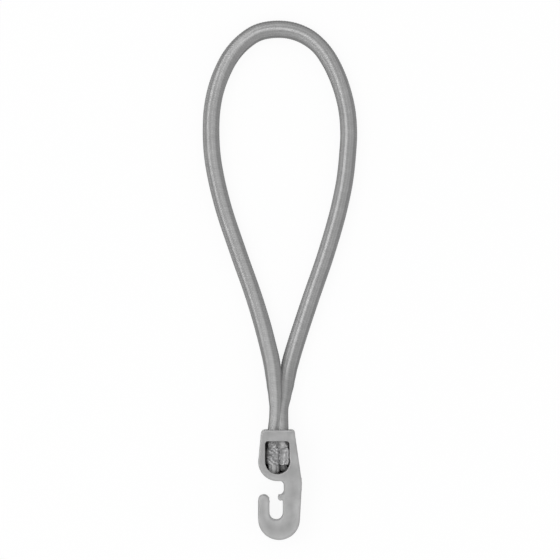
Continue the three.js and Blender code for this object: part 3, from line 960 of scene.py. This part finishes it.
crimpForm = {
    "top": 12.95,
    "bottom": 7.3,
    "sheet": 0.5,               # thickness
    "edge": (0.16, 3, 1.0),     # width and steps of the rounded edges, and the least angle
    "middle": (-0.77, 5.9),     # x and z
    "half": (3.91, 3.65),       # to the middle of the sheet, across and in depth
    "wall": 2.97,               # furthest x of the sheet's middle, clear of the pocket's right wall
    "squareness": (4.0, 24.0),  # of the left and right halves, 2 is an ellipse
    "narrow": (11.5, 0.13),     # y above which it narrows for the pocket's corners, share lost
    "tilt": 0.15,               # rise of the front to the right, for each mm
    "rise": (0.2, 0.34),        # x where the right flap starts to rise to the wall, and its slope
    "dome": (1.5, 0.07),        # x of the right flap's ridge, and its fall from there
    "flapFrom": (-0.6, 0.6),    # x where that fall starts, and mm until it is full
    "tongue": (9.2, 0.3),       # y below which the right flap is cut back, and the slant
    "taper": (1.2, 0.6),        # mm below the upper edge where the front bends in, and how far
    "lips": (1.0, -0.55),       # x where the left lip ends under the right one, and where that ends
    "lipWave": (1.7, 0.55),     # how far the right flap's edge waves, and how often
    "lapDip": (0.48, 1.0, 1.0),  # depth of the left lip under the right one, its length and run-out
    "dent": (0.6, 0.2),         # depth of the folds, and their share on the sides
    "fold": 1.5,                # mm from fold to fold
    "foldSlant": (0.61, 0.79),  # direction across the folds
    "foldSway": 0.5,            # how far the bends shift them
    "foldShape": 0.6,           # low for round folds with sharp grooves
    "foldsTo": (0.2, 0.9),      # x where the left half's folds end, and mm in which they fade
    # scale and shift of the broad bends along x, y and z, and of the fine wrinkles
    "bends": ((0.45, 0.4, 0.3), (0.0, 0.0, 2.0)),
    "wrinkles": ((1.7, 1.5, 0.8), (0.0, 0.0, 5.0)),
    "leftSwell": (0.25, -0.9),  # share of the wrinkles on the left half, and set-back
    "rightSwell": (0.85, 0.2, -0.15),  # shares of bends and wrinkles on the right, and set-back
    "ragged": (0.35, 0.6, 0.5),  # how uneven the lower edge is, and how often across and in depth
    "steps": (240, 80),
}


# middle line of the bent sheet, from the left lip round the back to the right lip on top of it
def crimpProfile(form, count):
    x, z = form["middle"]
    across, deep = form["half"]
    samples = 1600   # in two turns
    line = []
    for angle in np.linspace(0, 4 * math.pi, samples):
        c, s = math.cos(angle), math.sin(angle)
        power = form["squareness"][c > 0]
        reach = (abs(c / across) ** power + abs(s / deep) ** power) ** (-1 / power)
        line.append((x + reach * c, z + reach * s))
    line = np.array(line)
    first, last = [
        np.where((line[:, 1] > z) & (line[:, 0] < lip))[0] for lip in form["lips"]]
    line = line[first[0]:last[last > samples // 2][0]]
    reach = np.concatenate([[0], np.cumsum(np.linalg.norm(np.diff(line, axis=0), axis=1))])
    even = np.linspace(0, reach[-1], count)
    line = np.array([np.interp(even, reach, line[:, 0]), np.interp(even, reach, line[:, 1])]).T
    dip, length, runOut = form["lapDip"]
    under = np.clip(1 - (even - length) / runOut, 0, 1)
    line[:, 1] -= dip * under * under * (3 - 2 * under)
    return line


# how far the pressed sheet stands out: slanting folds on the left half, a broad swell on the right
def crimpSwell(form, place):
    x, y = place[:2]
    bend = foldNoise(place, *form["bends"])
    fine = foldNoise(place, *form["wrinkles"])
    slantX, slantY = form["foldSlant"]
    fold = (slantX * x + slantY * y) / form["fold"] + form["foldSway"] * bend
    ridge = abs(math.sin(math.pi * fold)) ** form["foldShape"]
    fineLeft, setLeft = form["leftSwell"]
    bendRight, fineRight, setRight = form["rightSwell"]
    end, fade = form["foldsTo"]
    left = zeroToOne((end - x) / fade)
    swell = bendRight * bend + fineRight * fine + setRight
    return left * (ridge + fineLeft * fine + setLeft) + (1 - left) * swell


def makeCrimp(form):
    across, along = form["steps"]
    bpy.ops.object.select_all(action="DESELECT")
    bpy.ops.mesh.primitive_grid_add(x_subdivisions=across, y_subdivisions=along, size=2)
    crimp = bpy.context.object
    profile = crimpProfile(form, across + 1)
    normals = np.gradient(profile, axis=0)
    normals = np.array([normals[:, 1], -normals[:, 0]]).T
    normals /= np.linalg.norm(normals, axis=1)[:, None]
    spacing = float(np.linalg.norm(profile[1] - profile[0]))
    columns = np.arange(across + 1)
    top, bottom = form["top"], form["bottom"]
    middleX, middleZ = form["middle"]
    tongueY, slant = form["tongue"]
    wave, waveOften = form["lipWave"]
    ragged, raggedX, raggedZ = form["ragged"]
    dent, onSides = form["dent"]
    narrowY, narrowShare = form["narrow"]
    taperLength, taperDepth = form["taper"]
    flapX, flapFade = form["flapFrom"]
    domeX, domeFall = form["dome"]
    riseX, riseSlope = form["rise"]
    for vertex in crimp.data.vertices:
        u, v = (vertex.co.x + 1) / 2, (vertex.co.y + 1) / 2
        # where on the sheet
        down = top + (bottom - top) * v
        waving = wave * abs(foldNoise((down, 0, 0), (waveOften, 0, 0), (0, 3.0, 1.0)))
        cutBack = (max(tongueY - down, 0) * slant + waving) / spacing
        column = u * (across - cutBack)
        x, z = [float(np.interp(column, columns, line)) for line in profile.T]
        normalX, normalZ = normals[round(column)]
        uneven = ragged * foldNoise((x, z, 0), (raggedX, raggedZ, 0), (0, 0, 7.0))
        y = top + (bottom + uneven - top) * v
        # how it is pressed
        front = max((z - middleZ) / form["half"][1], 0)
        swell = dent * crimpSwell(form, (x, y, z)) * min(onSides + front, 1)
        pressed = 1 - narrowShare * zeroToOne((y - narrowY) / (top - narrowY)) ** 1.5
        bentIn = max(1 - (top - y) / taperLength, 0) ** 2 * taperDepth
        fall = zeroToOne((x - flapX) / flapFade) * domeFall * (x - domeX) ** 2
        rise = riseSlope * max(x - riseX, 0)
        lift = front * (form["tilt"] * (x - middleX) + rise - bentIn - fall)
        x = middleX + (x + normalX * swell - middleX) * pressed
        vertex.co = (min(x, form["wall"]), y, z + normalZ * swell + lift)
    applyModifier(crimp, "SOLIDIFY", thickness=form["sheet"], offset=0)
    width, segments, angle = form["edge"]
    applyModifier(
        crimp, "BEVEL", width=width, segments=segments, limit_method="ANGLE", angle_limit=angle)
    selectOnly(crimp)
    bpy.ops.object.mode_set(mode="EDIT")
    bpy.ops.mesh.select_all(action="SELECT")
    bpy.ops.mesh.normals_make_consistent(inside=False)
    bpy.ops.object.mode_set(mode="OBJECT")
    return crimp


steelFinish = {
    "colour": (0.275, 0.275, 0.278),
    "mottle": (900.0, 7000.0, 0.7),       # scales of the clouds and the grain, and the amount
    "ridges": (0.49, 0.53),               # pointiness of the hollows and of the ridges
    # painted highlight that the ridges add, and the value in the hollows, which paints shade into them
    "tone": (0.6, 0.64),
    "metallic": (0.12, 0.04),
    "roughness": (-0.12, 0.6),
    "flapLight": (0.0002, 0.0016, 0.96, 1.2),  # x in metres of the right flap's start and ridge, and the tones of its painted light
    "bump": (0.00005, 0.8),               # metres, and strength
    "specular": 0.3,
}


def steelMaterial(finish):
    material, tree, shader = newMaterial("zincedSteel")
    place = tree.nodes.new("ShaderNodeTexCoord").outputs["Object"]
    tone, grain = placeMottle(tree, place, *finish["mottle"])
    # painted shade in the hollows and painted highlight on the ridges; the ridges are also more
    # metallic and smoother
    edge = tree.nodes.new("ShaderNodeNewGeometry").outputs["Pointiness"]
    ridgeShare = rampBetween(tree, edge, *finish["ridges"])
    tone = shiftTone(tree, tone, ridgeShare, *finish["tone"])
    # painted light: the right flap, which lies on top, is made lighter from its start to its ridge
    parts = tree.nodes.new("ShaderNodeSeparateXYZ")
    tree.links.new(place, parts.inputs[0])
    flapLight = rampBetween(tree, parts.outputs["X"], *finish["flapLight"])
    tone = calculate(tree, "MULTIPLY", tone, flapLight)
    toneColour(tree, shader, finish["colour"], tone)
    for name in ("Metallic", "Roughness"):
        level = calculate(tree, "MULTIPLY_ADD", ridgeShare, *finish[name.lower()])
        tree.links.new(level, shader.inputs[name])
    addBump(tree, shader, grain, *finish["bump"])
    shader.inputs["Specular IOR Level"].default_value = finish["specular"]
    return material


crimp = makeCrimp(crimpForm)
finishPiece(crimp, "steelCrimp", steelMaterial(steelFinish))
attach(crimp, "crimped_end")
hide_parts("cord_crimp")
